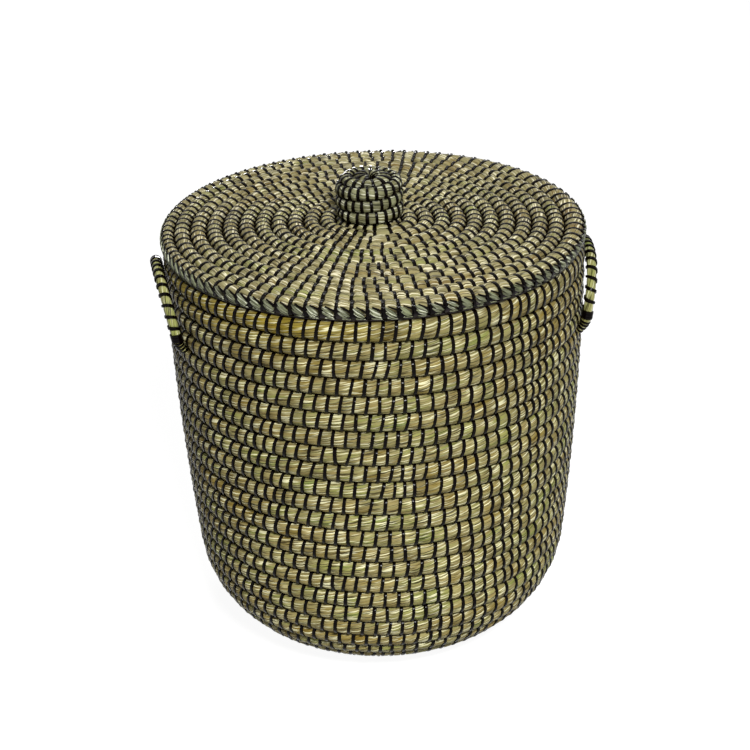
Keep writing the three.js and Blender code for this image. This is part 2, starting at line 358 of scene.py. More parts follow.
def tube_uv(lengths, around, closed, capped, whole):
    """The UV map of tube_faces: the length along the tube and the length round it."""
    rings, sides = len(lengths), len(around) - 1
    ends = np.append(lengths[1:], whole) if closed else lengths[1:]
    starts = lengths if closed else lengths[:-1]
    low, high = around[:-1], around[1:]
    grid = np.empty((len(starts), sides, 4, 2))
    grid[:, :, 0, 0] = grid[:, :, 3, 0] = starts[:, None]
    grid[:, :, 1, 0] = grid[:, :, 2, 0] = ends[:, None]
    grid[:, :, 0, 1] = grid[:, :, 1, 1] = low[None, :]
    grid[:, :, 2, 1] = grid[:, :, 3, 1] = high[None, :]
    uv = grid.reshape(-1, 2)
    if capped:
        cap = np.stack([np.full(sides, lengths[0]), around[:-1]], axis=-1)
        uv = np.concatenate([uv, cap, cap])
    return uv


def wind_rows(name, coil, stitches, tones, material, draw, pinch, gilt=0.0, paleness=0.0):
    """The rows of a bundle from the first to the last of these stitches, as one closed tube."""
    ends = np.append(stitches, stitches[0] + 1) if coil.closed else stitches
    begin, gap = ends[:-1], np.diff(ends)
    tight = stitch_grip / (full_turn * coil.radius(begin % coil.last if coil.closed else begin))
    turn = np.stack([begin + tight, begin + 0.3 * gap, begin + 0.7 * gap, begin + gap - tight], axis=1)
    turn = turn.ravel()
    swell = np.tile([0.0, 1.0, 1.0, 0.0], len(begin))
    slack = np.repeat(draw.uniform(0, pillow_slack, len(begin)), 4)
    inner, outer = coil.edges(turn)
    thin = np.sqrt(np.clip((outer - inner) / coil.pitch, 0.01, 1))
    across, out, squareness = coil.section(turn, corner_angles)
    half = (outer - inner) / 2 - draw.uniform(*row_parting, len(turn))
    depth = (coil.depth / 2 - pinch * (1 - swell) - slack * swell) * thin
    along = ((inner + outer) / 2)[:, None] + half[:, None] * across
    points = coil.points(turn[:, None], along, depth[:, None] * out)
    across, out = squared(corner_angles, coil.squareness)
    wide = np.diff(np.append(across, across[0])) * coil.pitch
    deep = np.diff(np.append(out, out[0])) * coil.depth
    around = np.concatenate([[0], np.cumsum(np.hypot(wide, deep) / 2)])
    lengths = coil.run(turn)
    capped = not coil.closed
    faces = tube_faces(len(turn), row_corners, coil.closed, capped)
    uv = tube_uv(lengths, around, coil.closed, capped, coil.travelled[-1])
    tone = np.repeat(np.repeat(tones, 4), row_corners)
    shade = np.repeat(np.repeat(draw.normal(0, 1, len(begin)) + paleness, 4), row_corners)
    gilt = np.repeat(np.repeat(np.broadcast_to(gilt, len(begin)), 4), row_corners)
    # Painted shade: the grass darkens towards its sides, where one row touches the next.
    hidden = np.clip(5 * np.abs(across) - 4, 0, 1) ** 3  # one where the next row touches this one
    groove = np.tile(hidden, len(turn))
    return new_piece(name, points, faces, uv, material, tone=tone, shade=shade, gilt=gilt, groove=groove)


def grass_tones(count, draw):
    """A tone for each pillow. Blades run on under the stitches, so a tone holds for several pillows."""
    tones = np.zeros(count)
    for pillow in range(1, count):
        tones[pillow] = 0.78 * tones[pillow - 1] + draw.normal(0, 0.62)
    return 0.5 + 0.12 * tones + draw.normal(0, 0.05, count)


def dried_grass(name, colours, darkest, palest, golden="#A08C2C"):
    """Dried seagrass: flat blades 2 to 3 mm wide laid side by side, matt, with fine ribs and dark creases
    between them. Its colour wanders from blade to blade, and the bundle's twist turns the blades a little
    across the row."""
    grass = bpy.data.materials.new(name)
    grass.use_nodes = True
    tree = grass.node_tree
    tree.nodes.clear()
    flat = add_node(tree, "ShaderNodeUVMap", uv_map="UVMap")
    place = add_node(tree, "ShaderNodeSeparateXYZ", {0: flat.outputs[0]})
    twist = {0: place.outputs["X"], 1: -0.19, 2: place.outputs["Y"]}
    twisted = add_node(tree, "ShaderNodeMath", twist, operation="MULTIPLY_ADD")
    tone = add_node(tree, "ShaderNodeAttribute", attribute_name="tone")
    shade = add_node(tree, "ShaderNodeAttribute", attribute_name="shade")
    gilt = add_node(tree, "ShaderNodeAttribute", attribute_name="gilt")
    groove = add_node(tree, "ShaderNodeAttribute", attribute_name="groove")

    def blades(blade_length, blade_width, detail):
        along = {0: place.outputs["X"], 1: 1 / blade_length}
        across = {0: twisted.outputs[0], 1: 1 / blade_width}
        lengthwise = add_node(tree, "ShaderNodeMath", along, operation="MULTIPLY").outputs[0]
        crosswise = add_node(tree, "ShaderNodeMath", across, operation="MULTIPLY").outputs[0]
        spot = add_node(tree, "ShaderNodeCombineXYZ", {"X": lengthwise, "Y": crosswise})
        noise = {"Vector": spot.outputs[0], "Scale": 1.0, "Detail": detail, "Roughness": 0.55}
        return add_node(tree, "ShaderNodeTexNoise", noise, noise_dimensions="2D").outputs["Fac"]

    broad = blades(34 * mm, 2.6 * mm, 1.0)
    fine = blades(22 * mm, 0.95 * mm, 1.5)
    wander = add_node(tree, "ShaderNodeMath", {0: broad, 1: 0.9, 2: -0.45}, operation="MULTIPLY_ADD")
    hue = {0: tone.outputs["Fac"], 1: wander.outputs[0]}
    mixed = add_node(tree, "ShaderNodeMath", hue, operation="ADD")
    ramp = add_node(tree, "ShaderNodeValToRGB", {"Fac": mixed.outputs[0]})
    ramp.color_ramp.elements.remove(ramp.color_ramp.elements[1])
    for step, colour in enumerate(colours):
        share = step / (len(colours) - 1)
        element = ramp.color_ramp.elements[0] if step == 0 else ramp.color_ramp.elements.new(share)
        element.position = share
        element.color = linear(colour)
    blade_gilt = add_node(
        tree,
        "ShaderNodeMapRange",
        {"Value": broad, "From Min": 0.3, "From Max": 0.7, "To Min": 0.45, "To Max": 1.2},
    )
    gilding = add_node(
        tree,
        "ShaderNodeMath",
        {0: gilt.outputs["Fac"], 1: blade_gilt.outputs[0]},
        operation="MULTIPLY",
        use_clamp=True,
    )
    gilded = add_node(
        tree,
        "ShaderNodeMix",
        {"Factor": gilding.outputs[0], "A": ramp.outputs["Color"], "B": linear(golden)},
        data_type="RGBA",
    )
    # Pale blades, which also serve as painted highlights: streaks mixed towards the palest colour.
    pale_blade_and_highlight_noise = blades(18 * mm, 1.2 * mm, 0.5)
    pale_blades_and_painted_highlights = add_node(
        tree,
        "ShaderNodeMapRange",
        {"Value": pale_blade_and_highlight_noise, "From Min": 0.56, "From Max": 0.7, "To Min": 0.0, "To Max": 0.85},
        interpolation_type="SMOOTHSTEP",
    )
    streaked = add_node(
        tree,
        "ShaderNodeMix",
        {"Factor": pale_blades_and_painted_highlights.outputs[0], "A": gilded.outputs["Result"], "B": linear(palest)},
        data_type="RGBA",
    )
    crease = add_node(
        tree,
        "ShaderNodeMapRange",
        {"Value": fine, "From Min": 0.32, "From Max": 0.48, "To Min": 0.85, "To Max": 0.0},
        interpolation_type="SMOOTHSTEP",
    )
    # The dark creases between blades, and the painted shade where one row touches the next, mix the grass
    # towards its darkest colour.
    hidden = add_node(
        tree, "ShaderNodeMath", {0: crease.outputs[0], 1: groove.outputs["Fac"]}, operation="MAXIMUM"
    )
    creased = add_node(
        tree,
        "ShaderNodeMix",
        {"Factor": hidden.outputs[0], "A": streaked.outputs["Result"], "B": linear(darkest)},
        data_type="RGBA",
    )
    lightness = {0: shade.outputs["Fac"], 1: 0.09, 2: 1.0}
    brighter = add_node(tree, "ShaderNodeMath", lightness, operation="MULTIPLY_ADD")
    coloured = add_node(
        tree,
        "ShaderNodeHueSaturation",
        {"Value": brighter.outputs[0], "Color": creased.outputs["Result"]},
    )
    ribs = add_node(tree, "ShaderNodeMath", {0: fine, 1: 0.55, 2: broad}, operation="MULTIPLY_ADD")
    relief = {"Strength": 0.9, "Distance": 1.1 * mm, "Height": ribs.outputs[0]}
    bump = add_node(tree, "ShaderNodeBump", relief)
    rough = add_node(tree, "ShaderNodeMapRange", {"Value": broad, "To Min": 0.24, "To Max": 0.46})
    surface = add_node(
        tree,
        "ShaderNodeBsdfPrincipled",
        {
            "Base Color": coloured.outputs["Color"],
            "Roughness": rough.outputs[0],
            "IOR": 1.45,
            "Specular IOR Level": 0.05,
            "Normal": bump.outputs[0],
        },
    )
    add_node(tree, "ShaderNodeOutputMaterial", {"Surface": surface.outputs[0]})
    return grass


wall_grass = dried_grass(
    "dried_seagrass",
    ["#806A2E", "#8F7E42", "#968858", "#98905E", "#929252", "#84904E"],
    "#241C0C",
    "#EEEABF",
)

foot_lean = 0.0
for settling in range(8):
    foot_lean = math.atan(2 * wall_taper / (body_height - foot_curve * (1 - math.sin(foot_lean))))
floor_radius = mouth_radius - wall_taper - foot_curve * math.cos(foot_lean)
bundle = row_depth / 2
bend = foot_curve - bundle
flat_part = [(share * floor_radius, bundle) for share in np.linspace(0, 1, 60)]
bend_angles = np.linspace(-math.pi / 2, -foot_lean, 90)[1:]
curved_part = [(floor_radius + bend * math.cos(a), foot_curve + bend * math.sin(a)) for a in bend_angles]
bend_end = np.array(curved_part[-1])
wall_middle = mouth_radius - bundle
wall_control = np.array([wall_middle, bend_end[1] + (wall_middle - bend_end[0]) / math.tan(foot_lean)])
wall_top = np.array([wall_middle, body_height])
upright_part = []
for t in np.linspace(0, 1, 160)[1:]:
    spot = bend_end * (1 - t) ** 2 + wall_control * 2 * t * (1 - t) + wall_top * t**2
    upright_part.append(tuple(spot))
body_line = flat_part + curved_part + upright_part
body_length = line_of_rows(body_line, 1)[1]
body_start = front + full_turn * (body_length - mouth_row_front - row_gap) / row_pitch
body_coil = Coil(body_line, 1, row_pitch, row_depth, body_start, wall_squareness)

draw = np.random.default_rng(41)
body_stitches = lay_stitches(
    body_coil, stitch_spacing, 0, stitch_drift, stitch_jitter, first_stitches, body_evening, draw
)
body_ends = np.concatenate([[0.02], body_stitches, [body_coil.last]])
body_tones = grass_tones(len(body_ends) - 1, draw)
body_gilt = np.zeros(len(body_ends) - 1)
for from_end, half_length, strength in golden_stretches:
    body_gilt += strength * np.exp(-(((body_ends[:-1] - body_coil.last + from_end) / half_length) ** 4))
# The grass is made lighter towards the base and darker towards the mouth.
paleness_turns = [base_turns - 2, base_turns + 5, body_coil.last]
body_paleness = np.interp(body_ends[:-1], paleness_turns, [2.8, 1.7, -1.0])
base_end = int(np.searchsorted(body_ends, base_turns))
wall_half = int(np.searchsorted(body_ends, (base_turns + body_coil.last) / 2))

for name, begin, end, node in (
    ("base_rows", 0, base_end, "base_coil"),
    ("wall_rows_lower", base_end, wall_half, "wall_coil"),
    ("wall_rows_upper", wall_half, len(body_ends) - 1, "wall_coil"),
):
    rows = wind_rows(
        name,
        body_coil,
        body_ends[begin : end + 1],
        body_tones[begin:end],
        wall_grass,
        draw,
        stitch_pinch,
        body_gilt[begin:end],
        body_paleness[begin:end],
    )
    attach(rows, "basket")
    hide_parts(node)

# Base and wall stitching
# A narrow strip of black plastic goes round each row and into the row before it, every 10 mm or so.
# It lies flat and tight in the hollow that it pulls into the bundle.
strip_width = 3.1 * mm
strip_rise = 0.95 * mm
strip_crown = 0.15 * mm  # what its middle stands above its edges
strip_sink = 0.3 * mm  # how far it goes into the bundle
strip_lean = 1.1 * mm  # how far a stitch slants to each side
stitch_corners = 12
strip_section = (
    (-0.5, -strip_sink),
    (-0.36, strip_rise),
    (0, strip_rise + strip_crown),
    (0.36, strip_rise),
    (0.5, -strip_sink),
)


def black_strip(name):
    """Extruded plastic strip, near black with a brown or violet cast: glossy, with faint draw lines
    along it, 0.5 mm apart, which is coarser than real ones, so that they show."""
    strip = bpy.data.materials.new(name)
    strip.use_nodes = True
    tree = strip.node_tree
    tree.nodes.clear()
    flat = add_node(tree, "ShaderNodeUVMap", uv_map="UVMap")
    place = add_node(tree, "ShaderNodeSeparateXYZ", {0: flat.outputs[0]})
    tone = add_node(tree, "ShaderNodeAttribute", attribute_name="tone")
    ramp = add_node(tree, "ShaderNodeValToRGB", {"Fac": tone.outputs["Fac"]})
    ramp.color_ramp.elements[0].color = linear("#060200")
    # Tones near one turn a dark grey, a painted sheen. The lid border's edge, the feet of its stems and
    # the strip under them take it.
    ramp.color_ramp.elements[1].color = linear("#332E2E")
    ramp.color_ramp.elements.new(0.8).color = linear("#050102")
    along = {0: place.outputs["X"], 1: 1 / (9 * mm)}
    across = {0: place.outputs["Y"], 1: 1 / (0.5 * mm)}
    lengthwise = add_node(tree, "ShaderNodeMath", along, operation="MULTIPLY").outputs[0]
    crosswise = add_node(tree, "ShaderNodeMath", across, operation="MULTIPLY").outputs[0]
    spot = add_node(tree, "ShaderNodeCombineXYZ", {"X": lengthwise, "Y": crosswise})
    noise = {"Vector": spot.outputs[0], "Scale": 1.0, "Detail": 1.0}
    drawn = add_node(tree, "ShaderNodeTexNoise", noise, noise_dimensions="2D").outputs["Fac"]
    rough = add_node(tree, "ShaderNodeMapRange", {"Value": drawn, "To Min": 0.06, "To Max": 0.14})
    relief = {"Strength": 0.25, "Distance": 0.12 * mm, "Height": drawn}
    bump = add_node(tree, "ShaderNodeBump", relief)
    surface = add_node(
        tree,
        "ShaderNodeBsdfPrincipled",
        {
            "Base Color": ramp.outputs["Color"],
            "Roughness": rough.outputs[0],
            "IOR": 1.49,
            "Specular IOR Level": 0.075,
            "Normal": bump.outputs[0],
        },
    )
    add_node(tree, "ShaderNodeOutputMaterial", {"Surface": surface.outputs[0]})
    return strip


def sew(name, coil, stitches, material, draw, pinch, width, lean):
    """Closed bands of strip round the rows of a coil, one at each stitch."""
    angles = full_turn * np.arange(stitch_corners) / stitch_corners
    across, out, squareness = coil.section(stitches, angles)
    count = len(stitches)
    radius = coil.radius(stitches)
    inner, outer = coil.edges(stitches)
    thin = np.sqrt(np.clip((outer - inner) / coil.pitch, 0.01, 1))
    half = (outer - inner)[:, None] / 2
    depth = ((coil.depth / 2 - pinch) * thin)[:, None]
    sideways, outwards = facing(across, out, squareness, half, depth)
    widths = width * draw.uniform(0.88, 1.12, count)[:, None]
    leans = lean * draw.normal(1, 0.5, count)[:, None]
    corners = []
    for share, rise in strip_section:
        turn = stitches[:, None] + (share * widths - leans * across) / (full_turn * radius[:, None])
        along = ((inner + outer) / 2)[:, None] + half * across + rise * sideways
        corners.append(coil.points(turn, along, depth * out + rise * outwards))
    points = np.stack(corners, axis=2)
    sides = len(strip_section)
    ring = np.array(tube_faces(stitch_corners, sides, True, False))
    first_corner = (np.arange(count) * stitch_corners * sides)[:, None, None]
    faces = (ring[None] + first_corner).reshape(-1, 4)[:, ::-1]
    lengths = np.linspace(0, 2 * (coil.pitch + coil.depth) * 0.85, stitch_corners + 1)
    uv = tube_uv(lengths[:-1], np.array([0, 0.2, 0.6, 1, 1.2, 2.2]) * width, True, False, lengths[-1])
    uv = uv.reshape(-1, 4, 2)[:, ::-1]
    shift = np.arange(count) * 37 * mm
    uv = np.tile(uv[None], (count, 1, 1, 1))
    uv[..., 0] += shift[:, None, None]
    tone = np.repeat(draw.uniform(0, 0.8, count), stitch_corners * sides)
    return new_piece(name, points, faces.tolist(), uv.reshape(-1, 2), material, sides, tone=tone)


plastic_strip = black_strip("black_plastic_strip")
base_sewn = int(np.searchsorted(body_stitches, base_turns))
wall_sewn = int(np.searchsorted(body_stitches, (base_turns + body_coil.last) / 2))
for name, begin, end in (
    ("base_stitches", 0, base_sewn),
    ("wall_stitches_lower", base_sewn, wall_sewn),
    ("wall_stitches_upper", wall_sewn, len(body_stitches)),
):
    sewn = body_stitches[begin:end]
    stitches = sew(name, body_coil, sewn, plastic_strip, draw, stitch_pinch, strip_width, strip_lean)
    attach(stitches, "basket")

# Lid rows and stitching
# A flat spiral of the same bundle, a little domed, whose stitches run out from the middle in lines.
# It lies loose on the mouth, slightly towards the back.
lid_radius = 171 * mm
lid_pitch = 13.1 * mm
lid_depth = 15 * mm
lid_dome = 3 * mm
lid_middle = 351.4 * mm
lid_back = 3 * mm
lid_spacing = 7.8 * mm
lid_spread = 0.38
lid_drift = -1.4 * mm
lid_jitter = 0.3 * mm
lid_evening = 8
lid_pinch = 1.4 * mm
lid_lean = -0.3 * mm
lid_squareness = 2.0

lid_grass = dried_grass(
    "faded_seagrass",
    ["#7C6840", "#8F8050", "#978D62", "#9E966C", "#999560", "#8E9254"],
    "#261F10",
    "#F2EBC8",
)
lid_reach = np.linspace(0, lid_radius, 120)
lid_line = np.stack([lid_reach, lid_middle + lid_dome * (1 - (lid_reach / lid_radius) ** 2)], axis=-1)
lid_coil = Coil(lid_line, -1, lid_pitch, lid_depth, front, lid_squareness, middle=(0, lid_back))
lid_stitches = lay_stitches(
    lid_coil, lid_spacing, lid_spread, lid_drift, lid_jitter, first_stitches, lid_evening, draw
)
lid_ends = np.concatenate([[0.02], lid_stitches, [lid_coil.last]])
lid_tones = grass_tones(len(lid_ends) - 1, draw)
lid_rows = wind_rows("lid_rows", lid_coil, lid_ends, lid_tones, lid_grass, draw, lid_pinch)
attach(lid_rows, "lid")
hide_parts("lid_coil")
lid_sewing = sew(
    "lid_stitches", lid_coil, lid_stitches, plastic_strip, draw, lid_pinch, strip_width, lid_lean
)
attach(lid_sewing, "lid")

# Lid border
# The edge of the lid is bound in a herringbone. At each stitch a stem of strip runs down over the last
# row, thinner strips cross to the next stem, and blades of grass lie between them like leaves.
# One strip runs all round under the stems' feet.
border_top = 0.85  # angles round the row's section, from its outermost edge
border_foot = -0.95
border_half = lid_pitch / 2
border_depth = lid_depth / 2
border_strip = 3 * mm
strip_around = np.array([0, 0.2, 1, 1.2, 2.2])  # widths of a strip, round a section with four corners

rim_stitches = lid_stitches[lid_stitches > lid_coil.last - 1]
unit_angles = np.sort((front - full_turn * rim_stitches) % full_turn)
unit_widths = np.diff(np.append(unit_angles, unit_angles[0] + full_turn))
unit_angle = full_turn / len(unit_angles)


def rim(angle, around, rise):
    """A point over the outside of the lid's last row, at an angle round the lid, an angle round the row
    and a rise off it."""
    across, out = squared(around, lid_squareness)
    sideways, outwards = facing(across, out, lid_squareness, border_half, border_depth)
    along = lid_radius - border_half + border_half * across + rise * sideways
    height = lid_middle + border_depth * out + rise * outwards
    return np.stack([along * np.cos(angle), lid_back + along * np.sin(angle), height], axis=-1)


def lay_strips(name, starts, ends, widths, rises, tones, material, draw, steps=6):
    """Bands over the rim, each from a start to an end given as an angle round the lid and round the row.
    Widths, rises and tones are given along them."""
    share = np.linspace(0, 1, steps)[None, :, None]

    def at_steps(values):
        return np.interp(share[0, :, 0], np.linspace(0, 1, len(values)), values)[None, :]

    starts, ends = np.asarray(starts)[:, None, :], np.asarray(ends)[:, None, :]
    ends = ends + draw.normal(0, [0.06 * unit_angle, 0.06], ends.shape)
    path = starts + (ends - starts) * share
    heading = ends - starts
    scale = np.array([lid_radius, 7 * mm])  # lengths for each radian round the lid and round the row
    length = np.linalg.norm(heading * scale, axis=-1, keepdims=True)
    sideways = np.stack([-heading[..., 1] * scale[1], heading[..., 0] * scale[0]], axis=-1)
    sideways = sideways / length / scale
    widths = at_steps(widths) * draw.uniform(0.8, 1.15, (len(starts), 1))
    rises = at_steps(rises)
    tones = at_steps(tones)
    corners = []
    for side, height in ((-0.5, 0.0), (-0.34, 1.0), (0.34, 1.0), (0.5, 0.0)):
        offset = path + sideways * (side * widths)[..., None]
        corners.append(rim(offset[..., 0], offset[..., 1], 0.1 * mm + height * rises))
    points = np.stack(corners, axis=2)
    count = len(points)
    one = tube_faces(steps, 4, False, True)
    faces = [[corner + strip * steps * 4 for corner in face] for strip in range(count) for face in one]
    uv = tube_uv(np.linspace(0, 12 * mm, steps), strip_around * border_strip, False, True, 0)
    uv = np.tile(uv[None], (count, 1, 1))
    uv[..., 0] += (np.arange(count) * 31 * mm)[:, None]
    tone = np.repeat(tones + draw.uniform(-0.2, 0.2, (count, 1)), 4, axis=1).ravel()
    shade = np.repeat(draw.normal(0, 1, count), steps * 4)
    return new_piece(name, points, faces, uv.reshape(-1, 2), material, 4, tone=tone, shade=shade)


def rim_places(aside, around):
    """Places beside the rim's stitches, by a share of the way to the next, at an angle round the row."""
    return np.stack([unit_angles + aside * unit_widths, np.full(len(unit_angles), around)], axis=-1)


rim_grass = dried_grass(
    "weathered_seagrass", ["#64664E", "#767960", "#84886C", "#828964"], "#1C1A12", "#DCDFC6"
)
# Each kind of band: where it starts and ends, then its widths and rises in millimetres and its tones
border_bands = (
    ("stems", (0, border_top), (0.1, border_foot), (2.5, 2.8, 3.8, 6.0), (0.5, 1.0, 1.4), (0.4, 0.6, 1)),
    ("crossing", (0.3, 0.62), (0.97, 0.12), (1.0, 1.5, 1.5), (0.9,), (0.4,)),
    ("under", (0.05, -0.2), (0.9, -0.8), (2.0, 4.0, 4.0), (0.6,), (0.9,)),
    ("leaves", (0.1, 0.5), (0.82, -0.3), (1.4, 3.4, 3.6, 1.6), (1.2, 1.5, 1.2), (0.6,)),
    ("lower_leaves", (0.13, 0.08), (0.76, -0.52), (1.0, 2.2, 2.2, 1.0), (1.1, 1.4, 1.1), (0.5,)),
    ("laid_in", (0.24, -0.58), (0.84, -0.7), (0.8, 1.4, 0.8), (1.1,), (0.4,)),
)
for name, start, end, widths, rises, tones in border_bands:
    of_grass = name in ("leaves", "lower_leaves", "laid_in")
    band = lay_strips(
        "lid_border_" + name,
        rim_places(*start),
        rim_places(*end),
        np.array(widths) * mm,
        np.array(rises) * mm,
        tones,
        rim_grass if of_grass else plastic_strip,
        draw,
    )
    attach(band, "lid")

foot_steps = 210
foot_angles = full_turn * np.arange(foot_steps) / foot_steps
foot_corners = [
    rim(foot_angles, np.full(foot_steps, border_foot + lift), rise)
    for lift, rise in ((-0.22, 0.1 * mm), (-0.14, 1.3 * mm), (0.14, 1.5 * mm), (0.24, 0.1 * mm))
]
# Its tone of 0.95 paints it the strip's dark grey, as sheen.
border_edge = new_piece(
    "lid_border_edge",
    np.stack(foot_corners, axis=1),
    tube_faces(foot_steps, 4, True, False),
    tube_uv(foot_angles * lid_radius, strip_around * border_strip, True, False, full_turn * lid_radius),
    plastic_strip,
    tone=np.full(foot_steps * 4, 0.95),
)
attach(border_edge, "lid")
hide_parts("lid_border")

# Locating ring
# Two closed rows of the same grass, sewn under the lid with the same strip.
# They drop inside the mouth and keep the lid in place.
locating_middle = 141.71 * mm
locating_low = 322.26 * mm
locating_top = 344.26 * mm
locating_depth = 12 * mm
locating_row = (locating_top - locating_low) / 2
locating_stitches = 86
locating_pinch = 0.8 * mm
locating_lean = 0.3 * mm

for number, name in enumerate(("lower", "upper")):
    low = locating_low + number * locating_row
    ring_heights = (low, low + locating_row / 2, low + locating_row)
    ring_line = [(locating_middle, height) for height in ring_heights]
    ring = Coil(
        ring_line, 1, locating_row, locating_depth, front, wall_squareness, 0, (0, lid_back), True
    )
    places = np.arange(locating_stitches) + draw.normal(0, 0.06, locating_stitches)
    sewn = places / locating_stitches
    tones = grass_tones(locating_stitches, draw)
    rows = wind_rows("locating_row_" + name, ring, sewn, tones, lid_grass, draw, locating_pinch)
    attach(rows, "lid")
    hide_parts("lid_locating_ring")
    bands = sew(
        "locating_stitches_" + name,
        ring,
        sewn,
        plastic_strip,
        draw,
        locating_pinch,
        strip_width,
        locating_lean,
    )
    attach(bands, "lid")

# Knob
# A small coil of a thinner and greyer bundle, closed over at the top and sewn with a narrower strip.
# It stands a little off the middle of the lid.
knob_middle = (-2 * mm, lid_back)
knob_radius = 27.5 * mm
knob_top = 396.8 * mm
knob_foot = 362.3 * mm
knob_shoulder = 10 * mm
knob_pitch = 9.9 * mm
knob_depth = 9 * mm
knob_spacing = 6.8 * mm
knob_pinch = 0.8 * mm
knob_strip = 2.7 * mm
knob_lean = 0.2 * mm

knob_grass = dried_grass(
    "grey_green_seagrass",
    ["#6E6A48", "#807D58", "#8C8B69", "#90926E", "#888E62"],
    "#201D10",
    "#E6E6CC",
)
knob_bundle = knob_depth / 2
shoulder_middle = knob_radius - knob_shoulder
shoulder_low = knob_top - knob_shoulder
shoulder_bend = knob_shoulder - knob_bundle
knob_line = [(share * shoulder_middle, knob_top - knob_bundle) for share in np.linspace(0, 1, 20)]
for angle in np.linspace(math.pi / 2, 0, 40)[1:]:
    reach = shoulder_middle + shoulder_bend * math.cos(angle)
    knob_line.append((reach, shoulder_low + shoulder_bend * math.sin(angle)))
for height in np.linspace(shoulder_low, knob_foot, 40)[1:]:
    knob_line.append((knob_radius - knob_bundle, height))
knob_coil = Coil(knob_line, -1, knob_pitch, knob_depth, front, wall_squareness, middle=knob_middle)
knob_runs = [2 * mm]
while knob_runs[-1] < knob_coil.travelled[-1] - knob_spacing:
    closeness = min(1, 0.75 + knob_runs[-1] / (300 * mm))  # nearer each other in the middle of the top
    knob_runs.append(knob_runs[-1] + knob_spacing * closeness * draw.uniform(0.9, 1.1))
knob_sewn = np.interp(knob_runs, knob_coil.travelled, knob_coil.turns)
knob_ends = np.concatenate([[0.02], knob_sewn, [knob_coil.last]])
knob_tones = grass_tones(len(knob_ends) - 1, draw)
knob_rows = wind_rows("knob_rows", knob_coil, knob_ends, knob_tones, knob_grass, draw, knob_pinch)
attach(knob_rows, "lid")
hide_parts("knob_coil")
knob_bands = sew(
    "knob_stitches", knob_coil, knob_sewn, plastic_strip, draw, knob_pinch, knob_strip, knob_lean
)
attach(knob_bands, "lid")

# Handles
# Each is a bundle bent to an arch, wound with strip, and lashed by its two legs to a row of the wall.
# The lashings are the hinge on which it swings.
handle_span = 96 * mm
handle_rise = 43.5 * mm
handle_radius = 3.9 * mm
arch_fullness = 2.4  # 2 makes an ellipse, and more makes it square
wrap_spacing = 9 * mm
wrap_width = 2.9 * mm
wrap_rise = 1.0 * mm
wrap_pinch = 0.55 * mm
wrap_reach = 1.9 * mm  # how far along the bundle the winding pulls it in
winding_steps = 18  # to a turn
lashing_low = -0.5 * mm
lashing_high = 7.5 * mm
lashing_inset = 1.2 * mm
lashing_pitch = 2.1 * mm
lashing_turns = 3
lashing_width = 2.6 * mm
handle_sides = 16
handle_rings = 90
root_rings = 22
root_sides = 12
root_path = [(2 * mm, 5 * mm), (5 * mm, 10 * mm), (8 * mm, 14 * mm)]  # in and down from a leg's end
root_radii = [3.6 * mm, 3.9 * mm, 3.4 * mm, 2.4 * mm, 1.2 * mm]
root_ties = (1.35, 1.85, 2.4, 3.0)  # counted in points of the root's path
tie_edges = np.array([-0.2, -0.13, 0.13, 0.2])
tie_lifts = np.array([-0.3, 0.7, 0.7, -0.3]) * mm
tie_width = 2 * mm
# Degrees round the wall, the hinge's distance out and its height, and degrees that the arch leans
handle_places = {
    "left": (185, 168.34 * mm, 292.54 * mm, 10.5),
    "right": (-5, 168.37 * mm, 285.46 * mm, 9),
}

handle_grass = dried_grass(
    "greener_seagrass", ["#8E8A50", "#9C985C", "#A6A46A", "#A2A660", "#949E54"], "#36321A", "#E6E4BA"
)
arch_angles = np.linspace(0, math.pi, 2001)
arch_level = np.cos(arch_angles)
arch_points = np.stack(
    [
        np.zeros_like(arch_angles),
        -np.sign(arch_level) * np.abs(arch_level) ** (2 / arch_fullness) * handle_span / 2,
        np.abs(np.sin(arch_angles)) ** (2 / arch_fullness) * handle_rise,
    ],
    axis=-1,
)
arch_run = np.concatenate([[0], np.cumsum(np.linalg.norm(np.diff(arch_points, axis=0), axis=1))])
arch_length = arch_run[-1]
wrap_begin = lashing_high + 1.5 * mm
wrap_turns = round((arch_length - 2 * wrap_begin) / wrap_spacing)
wrap_pitch = (arch_length - 2 * wrap_begin) / wrap_turns
arch_step = 0.5 * mm
wallwards = np.array([-1.0, 0, 0])


def spot_on(line, runs, run):
    """The places at lengths along a line, whose own points have these runs."""
    return np.stack([np.interp(run, runs, line[:, axis]) for axis in range(3)], axis=-1)


def arch_frame(run):
    """The place on the arch at a length along it, and the direction in its plane that is square to it.
    Past its ends the arch goes on straight."""
    within = np.clip(run, arch_step, arch_length - arch_step)
    ahead = spot_on(arch_points, arch_run, within + arch_step)
    behind = spot_on(arch_points, arch_run, within - arch_step)
    tangent = ahead - behind
    tangent /= np.linalg.norm(tangent, axis=-1, keepdims=True)
    spot = spot_on(arch_points, arch_run, within) + tangent * (run - within)[..., None]
    return spot, np.cross(tangent, wallwards)


def on_arch(run, angle, radius):
    """Points round the arch, at an angle from the side that faces the wall."""
    spot, in_plane = arch_frame(run)
    aside = wallwards * (radius * np.cos(angle))[..., None]
    return spot + aside + in_plane * (radius * np.sin(angle))[..., None]


def climb(angle):
    """Turns of a winding that goes more squarely over the outside of the arch than on its inside."""
    return (angle + 0.5 * (np.sin(angle - math.pi / 4) + math.sin(math.pi / 4))) / full_turn


def wind_strip(name, begin, pitch, turns, width, tone):
    """A strip wound round the arch, from a length along it."""
    angle = np.linspace(0, full_turn * turns, round(turns * winding_steps) + 1)
    run = begin + pitch * climb(angle)
    corners = []
    for share, lift in ((0.5, -strip_sink), (0.34, wrap_rise), (-0.34, wrap_rise), (-0.5, -strip_sink)):
        corners.append(on_arch(run + share * width, -angle, np.full_like(angle, handle_radius + lift)))
    points = np.stack(corners, axis=1)
    faces = tube_faces(len(points), 4, False, True)
    uv = tube_uv(angle * handle_radius, strip_around * wrap_width, False, True, 0)
    return new_piece(name, points, faces, uv, plastic_strip, 4, tone=np.full(len(points) * 4, tone))


